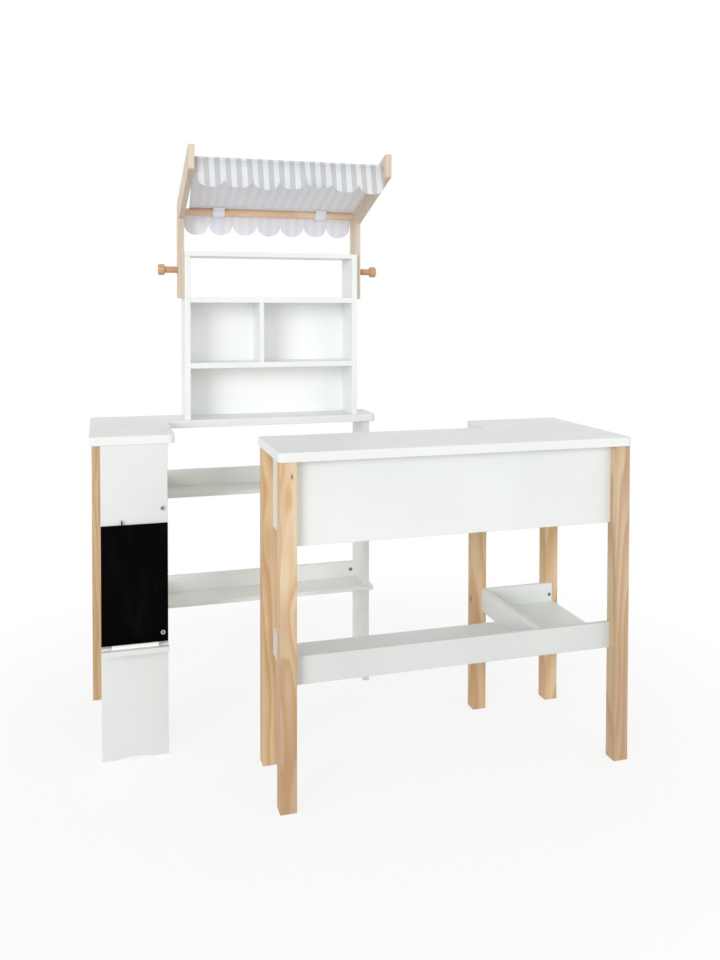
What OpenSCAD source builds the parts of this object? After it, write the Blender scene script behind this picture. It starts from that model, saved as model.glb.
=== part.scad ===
// Toy market stall: a rear stand with a small cabinet and a striped awning, and a front counter.
// Millimetres. +Z up, the customer looks along +Y, origin on the floor under the middle of both units.

/* [Layout] */
// Left edge of the counter worktop, to the right of the stand's left edge
counter_shift_x = 283; // [150:1:420]
// Front edge of the counter worktop, ahead of the stand's front edge
counter_shift_y = 252; // [180:1:500]

/* [Worktops] */
// Top face of both worktops above the floor
worktop_h = 570; // [540:1:680]
// Thickness of both worktops
worktop_t = 15; // [12:1:20]
// Radius of the open outer corners
worktop_r = 10; // [6:1:16]
// Radius of the other outer corners
worktop_small_r = 3; // [1:1:6]
// Radius of the inner corner of the L
worktop_inner_r = 6; // [3:1:12]
// Stand worktop, left to right
stand_w = 576; // [566:1:660]
// Stand worktop, front to back over the arm
stand_d = 292; // [280:1:360]
// Stand worktop, depth of the long part
stand_main_d = 98; // [94:1:110]
// Stand worktop, width of the arm
stand_arm_w = 146; // [142:1:170]
// Counter worktop, left to right
counter_w = 626; // [600:1:700]
// Counter worktop, front to back over the arm
counter_d = 290; // [270:1:360]
// Counter worktop, depth of the long part
counter_main_d = 190; // [170:1:215]
// Counter worktop, width of the arm
counter_arm_w = 190; // [185:1:200]

/* [Stand frame] */
// Square section of every pine leg
leg_w = 27; // [24:1:30]
// Chalkboard panel width
panel_w = 114; // [110:1:120]
// Chalkboard panel thickness
panel_t = 12; // [10:1:16]
// Panel in from the worktop's left edge
panel_left = 19; // [15:1:23]
// Panel in from the worktop's front edge
panel_front = 2; // [1:0.5:6]
// Width of the arch under the panel
foot_arch_w = 58; // [40:1:80]
// Height of the arch under the panel
foot_arch_h = 4.5; // [3:0.5:10]
// Pine leg in from the worktop's left edge
left_leg_left = 2; // [1:1:4]
// Pine leg in from the worktop's rear edge
left_leg_back = 2; // [1:1:4]
// Thickness of the right leg board
side_t = 12; // [10:1:14]
// Depth of the right leg board
side_d = 88; // [84:1:90]
// Worktop past the right leg board
side_right = 11; // [8:1:16]
// Right leg board in from the worktop's rear edge
side_back = 2; // [1:1:5]

/* [Shelves] */
// Height of the stand's rails
shelf_rail_h = 42; // [38:1:52]
// Height of the tray's rails
rail_h = 45; // [40:1:55]
// Thickness of every rail
rail_t = 9; // [8:1:10]
// Rear rails in from the worktop's rear edge
rail_back = 13; // [12:1:14]
// Thickness of the shelf and tray boards
shelf_t = 8; // [6:1:9]
// Depth of the long shelves in front of the rail
shelf_d = 75; // [72:1:76]
// Long shelves in from the worktop's right edge
shelf_right = 3; // [1:1:5]
// Top face of the lower shelves
lower_shelf_z = 204; // [150:1:220]
// Top face of the upper shelves below the worktops' top face
upper_shelf_drop = 146; // [120:1:170]
// Depth of the rabbet that takes the edge of a board
rabbet = 2.5; // [1.5:0.5:3]

/* [Chalkboard] */
// Top edge of the writing board below the worktop's top face
board_drop = 155.5; // [146:0.5:176]
// Thickness of the writing board
board_t = 3; // [2:0.5:4]
// Top face of the ledge
ledge_z = 204; // [185:1:205]
// Depth of the ledge from the panel
ledge_d = 32; // [30:1:45]
// Thickness of the ledge
ledge_t = 9; // [8.5:0.5:14]
// Middle of the chalk groove from the panel
groove_in = 18; // [17:1:20]
// Depth of the chalk groove
groove_depth = 4.5; // [3:0.5:4.5]
// Chalk diameter
chalk_d = 9.5; // [8:0.5:10]
// Chalk length
chalk_l = 79; // [60:1:95]
// Hook, in from the panel's left edge
hook_in = 35.5; // [20:0.5:80]
// Hook wire diameter
hook_d = 2.4; // [2:0.2:3]
// Height of the hook's upright tip
hook_h = 9; // [7:0.5:14]

/* [Cabinet] */
// Cabinet in from the worktop's left edge
cabinet_left = 182; // [175:1:184]
// Cabinet width
cabinet_w = 356; // [346:1:360]
// Cabinet depth
cabinet_d = 84; // [80:1:88]
// Cabinet height over the worktop
cabinet_h = 336; // [325:1:360]
// Cabinet in from the worktop's rear edge
cabinet_back = 5; // [3:1:8]
// Thickness of the cabinet sides and shelves
cabinet_t = 11; // [10:1:14]
// Thickness of the top board and the divider
cabinet_thin_t = 9; // [8:1:11]
// Thickness of the back panel
back_panel_t = 4; // [3:0.5:6]
// Top face of the upper cabinet shelf over the worktop
cabinet_upper = 245; // [225:1:252]
// Top face of the lower cabinet shelf over the worktop
cabinet_lower = 113; // [90:1:130]
// Left face of the divider from the cabinet's left face
divider_in = 150; // [120:1:200]

/* [Awning] */
// Thickness of the posts
post_t = 11; // [10:1:14]
// Width of the posts
post_w = 44; // [42:1:48]
// Post behind the cabinet's front edge
post_setback = 14; // [8:1:20]
// Lower end of the posts over the worktop
post_bottom = 243; // [200:1:248]
// Bend of the posts over the worktop
post_bend = 418; // [405:1:440]
// Lean of the upper arm above level
post_lean = 18; // [14:0.5:24]
// Upper arm from the upright's middle to the plumb end
post_reach = 234; // [200:1:240]
// Level cut at the tip
tip_flat = 9; // [4:1:12]
// Diameter of both rods
rod_d = 14; // [12:0.5:16]
// Front rod behind the post's plumb end
front_rod_in = 26; // [22:1:34]
// Depth of the rod sockets
rod_socket = 6; // [4:0.5:7]

/* [Cloth] */
// Gap between the cloth and each post
cloth_gap = 2; // [2:0.5:15]
// Cloth thickness
cloth_t = 1.2; // [1:0.1:1.8]
// Front valance below the rod's middle, at its lowest
front_valance = 46; // [38:1:60]
// Rear valance below the rod's middle, at its lowest
rear_valance = 45; // [38:1:60]
// Depth of the front scallops
front_scallop = 16; // [10:1:20]
// Depth of the rear scallops
rear_scallop = 20; // [10:1:24]
// Sag of the roof between the rods
roof_sag = 4; // [2:0.5:8]
// Sway of the valances
valance_sway = 2; // [0.5:0.5:3]
// Strap width
strap_w = 24; // [18:1:30]
// Strap thickness
strap_t = 1.5; // [1:0.1:2]
// Straps in from the cabinet's sides
strap_in = 71; // [40:1:110]
// Strap seam ahead of the rear rod
strap_roof_run = 13; // [11:1:16]
// Strap seam below the rear rod
strap_drop = 11; // [10:1:14]

/* [Pegs] */
// Peg height over the worktop
peg_h = 300.5; // [290:0.5:310]
// Diameter of the peg head
peg_head_d = 22; // [18:1:26]
// Length of the peg head
peg_head_l = 13; // [10:1:18]
// Diameter of the peg shaft
peg_shaft_d = 13; // [11:1:15]
// Length of the peg shaft
peg_shaft_l = 26; // [16:1:30]
// Rounding of the peg head
peg_round = 3; // [1.5:0.5:4]
// Diameter of the tenon through the post
peg_tenon_d = 8; // [7:0.5:9]

/* [Counter] */
// Counter legs in from the worktop edge
leg_inset = 3; // [1:0.5:6]
// Height of the aprons
apron_h = 137; // [100:1:160]
// Thickness of the aprons
apron_t = 9; // [8:1:12]

/* [Tray] */
// Lower edge of the tray rails above the floor
tray_z = 196; // [120:1:240]
// Rear edge of the long tray board, in front of the back leg's rear face
tray_open = 12; // [2:1:20]
// Arm's inner rail in from its leg's right face
arm_rail_right = 1; // [0.5:0.5:6]
// Arm tray board in from the worktop's right edge
arm_floor_right = 17; // [14:1:20]
// Lap of the arm's back rail on the right leg
arm_rail_lap = 10; // [9:0.5:13]
// Screw in from the right end of the arm's back rail
tray_screw_in = 6; // [5:0.5:6.5]

/* [Hardware] */
// Diameter of the dowels in the boards
dowel_d = 5; // [4:0.5:5.5]
// Diameter of the dowels in the leg tops
leg_dowel_d = 8; // [6:1:10]
// Length of a dowel
dowel_l = 24; // [20:1:28]
// Depth of a dowel in the thinner board
dowel_in = 6; // [4:0.5:7]
// Bolt shank diameter
bolt_d = 5; // [4:0.5:5]
// Bolt head diameter
bolt_head_d = 8; // [7:0.5:10]
// Bolt head height
bolt_head_h = 2.5; // [2:0.5:3.5]
// Hexagon socket over its corners
socket_d = 3.6; // [3:0.2:4]
// Depth of the socket
socket_depth = 1.5; // [1:0.1:1.8]
// Barrel nut diameter
nut_d = 8; // [7:0.5:9]
// Barrel nut in from the end of its rail
nut_in = 10; // [9:0.5:14]
// Bolt past the barrel nut's middle
bolt_past = 7; // [5:0.5:10]

/* [Hidden] */
$fn = 64;
quarter_turn = 90;
half_turn = 180;
// running room round a dowel or a bolt, in a halved joint, and beside cloth or chalk
slip = 0.05;
bolt_slip = 0.2;
lap_slip = 0.15;
soft_slip = 0.3;
// run of a cutting shape past a face
over = 1;
bolt_share = 0.59;
half = 0.5;
panel_dowel_shares = [0.2, 0.6];
side_dowel_shares = [0.2, 0.8];
cabinet_dowel_shares = [0.2, 0.75];
apron_long_shares = [0.15, 0.85];
apron_short_shares = [0.35, 0.65];
rail_high_share = 0.75;
rail_low_share = 0.4;
divider_dowel_share = 0.5;
post_dowel_share = 0.2;
nut_recess = 0.3;
screw_d = 3.5;
screw_l = 22;
screw_head_d = 7;
screw_head_h = 2;
hook_out = 5;
hook_root = 8;
scallops = 7;
scallop_steps = 6;
along_x = [0, quarter_turn, 0];
along_y = [-quarter_turn, 0, 0];
along_z = [0, 0, 0];

total_w = counter_shift_x + counter_w;
total_d = counter_shift_y + stand_d;
stand_at = [-total_w * half, total_d * half - stand_d, 0];
counter_at = [-total_w * half + counter_shift_x, -total_d * half, 0];
under = worktop_h - worktop_t;
counter_radii = [worktop_r, worktop_small_r, worktop_small_r, worktop_small_r, worktop_r];
stand_radii = [worktop_small_r, worktop_r, worktop_r, worktop_small_r, worktop_small_r];

// stand, from the front left corner of its worktop
panel_mid_y = panel_front + panel_t * half;
panel_back = panel_front + panel_t;
left_leg_y = stand_d - left_leg_back - leg_w;
left_leg_x1 = left_leg_left + leg_w;
side_x = stand_w - side_right - side_t;
side_y = stand_d - side_back - side_d;
rail_y = stand_d - rail_back - rail_t;
rail_mid_y = rail_y + rail_t * half;
shelf_y = rail_y - shelf_d;
shelf_x1 = stand_w - shelf_right;
lap_y = (side_y + rail_y) * half;
arm_rail_x1 = panel_left + panel_w - rail_t * half;
arm_rail_x = arm_rail_x1 - rail_t;
arm_rail_mid = arm_rail_x + rail_t * half;
lower_rail_z = lower_shelf_z - shelf_t;
upper_rail_z = worktop_h - upper_shelf_drop - shelf_t;
lower_bolt_z = lower_rail_z + shelf_rail_h * bolt_share;
upper_bolt_z = upper_rail_z + shelf_rail_h * bolt_share;
ledge_y = panel_front - ledge_d;
groove_y = panel_front - groove_in;
groove_r = chalk_d * half + soft_slip;
chalk_z = ledge_z - groove_depth + groove_r;
chalk_x = panel_left + (panel_w - chalk_l) * half;
board_h = worktop_h - board_drop - ledge_z;
hook_z = ledge_z + board_h + hook_d;

// cabinet and awning, in the stand's frame
cab_x1 = cabinet_left + cabinet_w;
cab_y = stand_d - cabinet_back - cabinet_d;
cab_top = worktop_h + cabinet_h;
cab_side_h = cabinet_h - cabinet_thin_t;
inner_w = cabinet_w - cabinet_t - cabinet_t;
inner_x = cabinet_left + cabinet_t;
upper_z = worktop_h + cabinet_upper - cabinet_t;
lower_z = worktop_h + cabinet_lower - cabinet_t;
divider_z = worktop_h + cabinet_lower;
divider_h = upper_z - divider_z;
lower_shelf_depth = cabinet_d - back_panel_t;
post_y = cab_y + post_setback + post_w * half;
bend_z = worktop_h + post_bend;
bottom_z = worktop_h + post_bottom;
miter = post_w * half * tan((quarter_turn - post_lean) * half);
rise = post_reach * tan(post_lean);
side_rise = post_w * half / cos(post_lean);
tip_drop = tip_flat * tan(post_lean);
tip_y = post_y - post_reach;
front_rod_y = tip_y + front_rod_in;
front_rod_z = bend_z + (post_reach - front_rod_in) * tan(post_lean);
rod_r = rod_d * half;
peg_z = worktop_h + peg_h;
peg_reach = post_t + cabinet_t * half;
cloth_w = cabinet_w - cloth_gap - cloth_gap;
cloth_x = cabinet_left + cloth_gap;

// counter, from the front left corner of its worktop
leg_in = leg_inset + leg_w;
right_leg_x = counter_w - leg_in;
back_leg_y = counter_main_d - leg_in;
arm_leg_x = counter_w - counter_arm_w + leg_inset;
arm_leg_y = counter_d - leg_in;
apron_in = leg_in - apron_t;
apron_z = under - apron_h;
front_rail_y = leg_in - rail_t;
arm_back_y = arm_leg_y - rail_t;
arm_rail_in = arm_leg_x + leg_w - rail_t - arm_rail_right;
arm_rail_end = arm_rail_in + rail_t;
arm_back_end = right_leg_x + arm_rail_lap;
arm_floor_x1 = counter_w - arm_floor_right;
tray_rear = back_leg_y + leg_w - tray_open;

// a dowel: middle, direction, diameter, length
function peg_in(p, turn, d, l) = [p, turn, d, l];

stand_top_dowels = [
    for (s = panel_dowel_shares)
        peg_in([panel_left + panel_w * s, panel_mid_y, under + dowel_in - dowel_l * half], along_z,
            dowel_d, dowel_l),
    for (s = side_dowel_shares)
        peg_in([side_x + side_t * half, side_y + side_d * s, under + dowel_in - dowel_l * half], along_z,
            dowel_d, dowel_l),
    peg_in([left_leg_left + leg_w * half, left_leg_y + leg_w * half, under + dowel_in - dowel_l * half],
        along_z,
        leg_dowel_d, dowel_l)];
ledge_dowel_l = dowel_in + dowel_in;
ledge_dowels = [
    for (s = panel_dowel_shares)
        peg_in([panel_left + panel_w * s, panel_front, ledge_z - ledge_t * half], along_y,
            dowel_d, ledge_dowel_l)];
arm_rail_dowels = [
    for (z = [lower_bolt_z, upper_bolt_z])
        peg_in([arm_rail_mid, rail_y + dowel_in - dowel_l * half, z], along_y, dowel_d, dowel_l)];

function side_dowel_x(right) = right ? cab_x1 - cabinet_t * half : cabinet_left + cabinet_t * half;
cabinet_foot_dowels = [
    for (right = [false, true])
        for (s = cabinet_dowel_shares)
            peg_in([side_dowel_x(right), cab_y + cabinet_d * s, worktop_h - dowel_in + dowel_l * half],
                along_z, dowel_d, dowel_l)];
cabinet_top_dowels = [
    for (right = [false, true])
        for (s = cabinet_dowel_shares)
            peg_in([side_dowel_x(right), cab_y + cabinet_d * s,
                worktop_h + cab_side_h + dowel_in - dowel_l * half], along_z, dowel_d, dowel_l)];
cabinet_shelf_dowels = [
    for (z = [lower_z, upper_z])
        for (s = cabinet_dowel_shares)
            for (x = [inner_x - dowel_in + dowel_l * half, inner_x + inner_w + dowel_in - dowel_l * half])
                peg_in([x, cab_y + cabinet_d * s, z + cabinet_t * half], along_x, dowel_d, dowel_l)];
divider_mid = cabinet_left + divider_in + cabinet_thin_t * half;
divider_dowels = [
    for (z = [divider_z - dowel_in + dowel_l * half, upper_z + dowel_in - dowel_l * half])
        peg_in([divider_mid, cab_y + cabinet_d * divider_dowel_share, z], along_z, dowel_d, dowel_l)];
post_dowel_z = bottom_z + (cab_top - bottom_z) * post_dowel_share;
post_dowels = [
    for (x = [cabinet_left, cab_x1])
        peg_in([x, post_y, post_dowel_z], along_x, dowel_d, dowel_in + dowel_in)];

counter_leg_spots = [[leg_inset, leg_inset], [leg_inset, back_leg_y], [right_leg_x, leg_inset],
    [arm_leg_x, arm_leg_y], [right_leg_x, arm_leg_y]];
counter_top_dowels = [
    for (p = counter_leg_spots)
        peg_in([p[0] + leg_w * half, p[1] + leg_w * half, under + dowel_in - dowel_l * half], along_z,
            leg_dowel_d, dowel_l)];
front_mid_y = apron_in + apron_t * half;
left_mid_x = apron_in + apron_t * half;
right_mid_x = counter_w - left_mid_x;
front_apron_dowels = [
    for (s = apron_long_shares)
        for (x = [leg_in, right_leg_x])
            peg_in([x, front_mid_y, apron_z + apron_h * s], along_x, dowel_d, dowel_l)];
left_apron_dowels = [
    for (s = apron_short_shares)
        for (y = [leg_in, back_leg_y])
            peg_in([left_mid_x, y, apron_z + apron_h * s], along_y, dowel_d, dowel_l)];
right_apron_dowels = [
    for (s = apron_short_shares)
        for (y = [leg_in, arm_leg_y])
            peg_in([right_mid_x, y, apron_z + apron_h * s], along_y, dowel_d, dowel_l)];
tray_high_z = tray_z + rail_h * rail_high_share;
tray_low_z = tray_z + rail_h * rail_low_share;
front_rail_dowels = [
    for (x = [leg_in, right_leg_x])
        peg_in([x, leg_in - rail_t * half, tray_high_z], along_x, dowel_d, dowel_l)];
left_rail_dowels = [
    for (y = [leg_in, back_leg_y])
        peg_in([leg_in - rail_t * half, y, tray_low_z], along_y, dowel_d, dowel_l)];
arm_front_dowel = [peg_in([arm_rail_in + rail_t * half, leg_in - dowel_in + dowel_l * half, tray_low_z],
    along_y, dowel_d, dowel_l)];
arm_rear_dowel = [peg_in([arm_rail_in + rail_t * half, arm_leg_y, tray_low_z], along_y, dowel_d, dowel_l)];
arm_corner_dowel = [peg_in([arm_rail_end - dowel_in + dowel_l * half, arm_back_y + rail_t * half,
    tray_high_z], along_x, dowel_d, dowel_l)];

module dowel(e, room) {
    translate(e[0])
        rotate(e[1])
            cylinder(d = e[2] + room + room, h = e[3] + room + room, center = true);
}

module dowels(list) {
    for (e = list)
        dowel(e, 0);
}

// a piece with the holes for its dowels
module bored(list) {
    difference() {
        children();
        for (e = list)
            dowel(e, slip);
    }
}

module block(at, size) {
    translate(at)
        cube(size);
}

module on_stand() {
    translate(stand_at)
        children();
}

module on_counter() {
    translate(counter_at)
        children();
}

module rounded_rect(w, d, r) {
    translate([r, 0])
        square([w - r - r, d]);
    translate([0, r])
        square([w, d - r - r]);
    for (x = [r, w - r])
        for (y = [r, d - r])
            translate([x, y])
                circle(r = r);
}

// what a rounded corner at [x, y] loses; the board lies towards [dx, dy]
module corner_cut(x, y, dx, dy, r) {
    difference() {
        translate([x - (dx > 0 ? over : r), y - (dy > 0 ? over : r)])
            square([r + over, r + over]);
        translate([x + dx * r, y + dy * r])
            circle(r = r);
    }
}

// the L of both worktops: long part in front, arm at the right going back
// radii: front left, back left, arm's rear left, rear right, front right
module worktop_outline(w, d, main_d, arm_w, radii) {
    difference() {
        union() {
            square([w, main_d]);
            translate([w - arm_w, 0])
                square([arm_w, d]);
            difference() {
                translate([w - arm_w - worktop_inner_r, main_d - over])
                    square([worktop_inner_r + over, worktop_inner_r + over]);
                translate([w - arm_w - worktop_inner_r, main_d + worktop_inner_r])
                    circle(r = worktop_inner_r);
            }
        }
        corner_cut(0, 0, 1, 1, radii[0]);
        corner_cut(0, main_d, 1, -1, radii[1]);
        corner_cut(w - arm_w, d, 1, -1, radii[2]);
        corner_cut(w, d, -1, -1, radii[3]);
        corner_cut(w, 0, -1, 1, radii[4]);
    }
}

module stand_worktop() {
    color("white")
        on_stand()
            bored(concat(stand_top_dowels, cabinet_foot_dowels))
                translate([stand_w, stand_d, under])
                    rotate([0, 0, half_turn])
                        linear_extrude(worktop_t)
                            worktop_outline(stand_w, stand_d, stand_main_d, stand_arm_w, stand_radii);
}

module counter_worktop() {
    color("white")
        on_counter()
            bored(counter_top_dowels)
                translate([0, 0, under])
                    linear_extrude(worktop_t)
                        worktop_outline(counter_w, counter_d, counter_main_d, counter_arm_w, counter_radii);
}

// a bolt hole along Y from a front face, and along X from a side face
module bolt_hole_y(at, l) {
    translate(at)
        rotate(along_y)
            cylinder(d = bolt_d + bolt_slip, h = l);
}

module bolt_hole_x(at, l) {
    translate(at)
        rotate(along_x)
            cylinder(d = bolt_d + bolt_slip, h = l);
}

module chalkboard_panel() {
    arch_r = (foot_arch_w * foot_arch_w * half * half + foot_arch_h * foot_arch_h) * half / foot_arch_h;
    color("white")
        on_stand()
            bored(concat(stand_top_dowels, ledge_dowels))
                difference() {
                    block([panel_left, panel_front, 0], [panel_w, panel_t, under]);
                    translate([panel_left + panel_w * half, panel_front - over, foot_arch_h - arch_r])
                        rotate(along_y)
                            cylinder(r = arch_r, h = panel_t + over + over, $fn = $fn + $fn);
                    for (z = [lower_bolt_z, upper_bolt_z])
                        bolt_hole_y([arm_rail_mid, panel_front - over, z], panel_t + over + over);
                    translate([panel_left + hook_in, panel_front + hook_root, hook_z])
                        rotate(-along_y)
                            cylinder(d = hook_d + slip + slip, h = hook_root + over);
                }
}

module chalkboard() {
    color("black")
        on_stand()
            difference() {
                block([panel_left, panel_front - board_t, ledge_z], [panel_w, board_t, board_h]);
                bolt_hole_y([arm_rail_mid, panel_front - board_t - over, lower_bolt_z],
                    board_t + over + over);
            }
}

module chalk_ledge() {
    color("white")
        on_stand()
            bored(ledge_dowels)
                difference() {
                    block([panel_left, ledge_y, ledge_z - ledge_t], [panel_w, ledge_d, ledge_t]);
                    translate([panel_left - over, groove_y, chalk_z])
                        rotate(along_x)
                            cylinder(r = groove_r, h = panel_w + over + over);
                }
}

module chalk_stick() {
    color("white")
        on_stand()
            translate([chalk_x, groove_y, chalk_z])
                rotate(along_x)
                    cylinder(d = chalk_d, h = chalk_l);
}

module board_hook() {
    color("black")
        on_stand()
            translate([panel_left + hook_in, panel_front, hook_z]) {
                translate([0, hook_root, 0])
                    rotate(-along_y)
                        cylinder(d = hook_d, h = hook_root + hook_out);
                translate([0, -hook_out, 0]) {
                    sphere(d = hook_d);
                    cylinder(d = hook_d, h = hook_h - hook_d);
                }
            }
}

module stand_left_leg() {
    color("burlywood")
        on_stand()
            bored(stand_top_dowels)
                difference() {
                    block([left_leg_left, left_leg_y, 0], [leg_w, leg_w, under]);
                    for (z = [lower_bolt_z, upper_bolt_z])
                        bolt_hole_x([left_leg_left - over, rail_mid_y, z], leg_w + over + over);
                    for (z = [lower_bolt_z, upper_bolt_z])
                        translate([left_leg_left - over, rail_mid_y, z])
                            rotate(along_x)
                                cylinder(d = bolt_head_d + bolt_slip, h = bolt_head_h + over);
                }
}

module stand_right_leg() {
    color("white")
        on_stand()
            bored(stand_top_dowels)
                difference() {
                    block([side_x, side_y, 0], [side_t, side_d, under]);
                    for (z = [lower_rail_z, upper_rail_z])
                        block([side_x - over, side_y - over, z - lap_slip],
                            [side_t + over + over, lap_y - side_y + over + lap_slip,
                                shelf_t + lap_slip + lap_slip]);
                    for (z = [lower_bolt_z, upper_bolt_z])
                        bolt_hole_x([side_x - over, rail_mid_y, z], side_t + over + over);
                }
}

// a long shelf, halved over the right leg
module shelf_board(z) {
    x0 = arm_rail_x1 - rabbet;
    color("white")
        on_stand()
            difference() {
                translate([0, 0, z])
                    linear_extrude(shelf_t)
                        difference() {
                            translate([x0 - worktop_r, shelf_y])
                                rounded_rect(shelf_x1 - x0 + worktop_r, shelf_d + rabbet, worktop_r * half);
                            translate([x0 - worktop_r - over, shelf_y - over])
                                square([worktop_r + over, shelf_d + rabbet + over + over]);
                        }
                block([side_x - lap_slip, lap_y - lap_slip, z - over],
                    [side_t + lap_slip + lap_slip, side_d, shelf_t + over + over]);
            }
}

module upper_shelf_board() {
    shelf_board(upper_rail_z);
}

module lower_shelf_board() {
    shelf_board(lower_rail_z);
}

// a rear rail with the rabbet for the boards, the bolts and the barrel nuts
module shelf_rail(z, bolt_z) {
    l = side_x - left_leg_x1;
    color("white")
        on_stand()
            bored(arm_rail_dowels)
                difference() {
                    block([left_leg_x1, rail_y, z], [l, rail_t, shelf_rail_h]);
                    block([left_leg_x1 - over, rail_y - over, z - over],
                        [l + over + over, rabbet + over, shelf_t + over]);
                    for (x = [left_leg_x1 + nut_in, side_x - nut_in])
                        nut_hole([x, rail_y - over, bolt_z], along_y);
                    bolt_hole_x([left_leg_x1 - over, rail_mid_y, bolt_z], nut_in + bolt_past + over);
                    bolt_hole_x([side_x - nut_in - bolt_past, rail_mid_y, bolt_z], nut_in + bolt_past + over);
                }
}

module nut_hole(at, turn) {
    translate(at)
        rotate(turn)
            cylinder(d = nut_d + slip + slip, h = rail_t + over + over);
}

module upper_shelf_rail() {
    shelf_rail(upper_rail_z, upper_bolt_z);
}

module lower_shelf_rail() {
    shelf_rail(lower_rail_z, lower_bolt_z);
}

// a rail along the inner side of the arm, rabbeted for a board on both sides
module arm_rail(z, bolt_z) {
    l = rail_y - panel_back;
    color("white")
        on_stand()
            bored(arm_rail_dowels)
                difference() {
                    block([arm_rail_x, panel_back, z], [rail_t, l, shelf_rail_h]);
                    block([arm_rail_x - over, panel_back - over, z - over],
                        [rabbet + over, l + over + over, shelf_t + over]);
                    block([arm_rail_x1 - rabbet, shelf_y - lap_slip, z - over],
                        [rabbet + over, shelf_d + over, shelf_t + over]);
                    nut_hole([arm_rail_x - over, panel_back + nut_in, bolt_z], along_x);
                    bolt_hole_y([arm_rail_mid, panel_back - over, bolt_z], nut_in + bolt_past + over);
                }
}

module upper_arm_rail() {
    arm_rail(upper_rail_z, upper_bolt_z);
}

module lower_arm_rail() {
    arm_rail(lower_rail_z, lower_bolt_z);
}

// a board behind the panel, from the pine leg to the arm's rail
module arm_board(z) {
    color("white")
        on_stand()
            block([left_leg_x1, panel_back, z],
                [arm_rail_x + rabbet - left_leg_x1, rail_y + rabbet - panel_back, shelf_t]);
}

module upper_arm_board() {
    arm_board(upper_rail_z);
}

module lower_arm_board() {
    arm_board(lower_rail_z);
}

module cabinet_side(x, post_x) {
    color("white")
        on_stand()
            bored(concat(cabinet_foot_dowels, cabinet_top_dowels, cabinet_shelf_dowels, post_dowels))
                difference() {
                    block([x, cab_y, worktop_h], [cabinet_t, cabinet_d, cab_side_h]);
                    translate([post_x, post_y, peg_z])
                        rotate(along_x)
                            cylinder(d = peg_tenon_d + slip + slip, h = cabinet_t + slip + slip,
                                center = true);
                }
}

module cabinet_left_side() {
    cabinet_side(cabinet_left, cabinet_left);
}

module cabinet_right_side() {
    cabinet_side(cab_x1 - cabinet_t, cab_x1);
}

module cabinet_top() {
    color("white")
        on_stand()
            bored(cabinet_top_dowels)
                block([cabinet_left, cab_y, worktop_h + cab_side_h], [cabinet_w, cabinet_d, cabinet_thin_t]);
}

module cabinet_upper_shelf() {
    color("white")
        on_stand()
            bored(concat(cabinet_shelf_dowels, divider_dowels))
                block([inner_x, cab_y, upper_z], [inner_w, cabinet_d, cabinet_t]);
}

module cabinet_lower_shelf() {
    color("white")
        on_stand()
            bored(concat(cabinet_shelf_dowels, divider_dowels))
                block([inner_x, cab_y, lower_z], [inner_w, lower_shelf_depth, cabinet_t]);
}

module cabinet_divider() {
    color("white")
        on_stand()
            bored(divider_dowels)
                block([cabinet_left + divider_in, cab_y, divider_z],
                    [cabinet_thin_t, lower_shelf_depth, divider_h]);
}

module cabinet_back_panel() {
    color("white")
        on_stand()
            block([inner_x, cab_y + lower_shelf_depth, worktop_h],
                [inner_w, back_panel_t, upper_z - worktop_h]);
}

// a bent post in the YZ plane: upright, mitred bend, leaning arm with a plumb end and a level tip
module post_outline() {
    polygon([
        [post_y - post_w * half, bottom_z],
        [post_y + post_w * half, bottom_z],
        [post_y + post_w * half, bend_z + miter],
        [tip_y + tip_flat, bend_z + rise + side_rise - tip_drop],
        [tip_y, bend_z + rise + side_rise - tip_drop],
        [tip_y, bend_z + rise - side_rise],
        [post_y - post_w * half, bend_z - miter]]);
}

// a post from x to x + post_t, with the rod sockets in the face at socket_x
module awning_post(x, socket_x) {
    color("burlywood")
        on_stand()
            bored(post_dowels)
                difference() {
                    translate([x, 0, 0])
                        rotate([quarter_turn, 0, quarter_turn])
                            linear_extrude(post_t)
                                post_outline();
                    for (p = [[post_y, bend_z], [front_rod_y, front_rod_z]])
                        translate([socket_x, p[0], p[1]])
                            rotate(along_x)
                                cylinder(d = rod_d + slip + slip, h = rod_socket + rod_socket, center = true);
                    translate([x - over, post_y, peg_z])
                        rotate(along_x)
                            cylinder(d = peg_tenon_d + slip + slip, h = post_t + over + over);
                }
}

module left_awning_post() {
    awning_post(cabinet_left - post_t, cabinet_left);
}

module right_awning_post() {
    awning_post(cab_x1, cab_x1);
}

// a turned peg: tenon, shaft and rounded head, along +Z from the post's outer face
module hanging_peg() {
    rotate_extrude() {
        translate([0, -peg_reach])
            square([peg_tenon_d * half, peg_reach + over]);
        square([peg_shaft_d * half, peg_shaft_l + over]);
        translate([0, peg_shaft_l])
            square([peg_head_d * half - peg_round, peg_head_l]);
        translate([0, peg_shaft_l + peg_round])
            square([peg_head_d * half, peg_head_l - peg_round - peg_round]);
        for (y = [peg_shaft_l + peg_round, peg_shaft_l + peg_head_l - peg_round])
            translate([peg_head_d * half - peg_round, y])
                circle(r = peg_round);
    }
}

module left_hanging_peg() {
    color("peru")
        on_stand()
            translate([cabinet_left - post_t, post_y, peg_z])
                rotate(-along_x)
                    hanging_peg();
}

module right_hanging_peg() {
    color("peru")
        on_stand()
            translate([cab_x1 + post_t, post_y, peg_z])
                rotate(along_x)
                    hanging_peg();
}

module awning_rod(y, z) {
    l = cabinet_w + rod_socket + rod_socket - lap_slip - lap_slip;
    color("peru")
        on_stand()
            translate([cabinet_left - rod_socket + lap_slip, y, z])
                rotate(along_x)
                    cylinder(d = rod_d, h = l);
}

module front_awning_rod() {
    awning_rod(front_rod_y, front_rod_z);
}

module rear_awning_rod() {
    awning_rod(post_y, bend_z);
}

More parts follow.
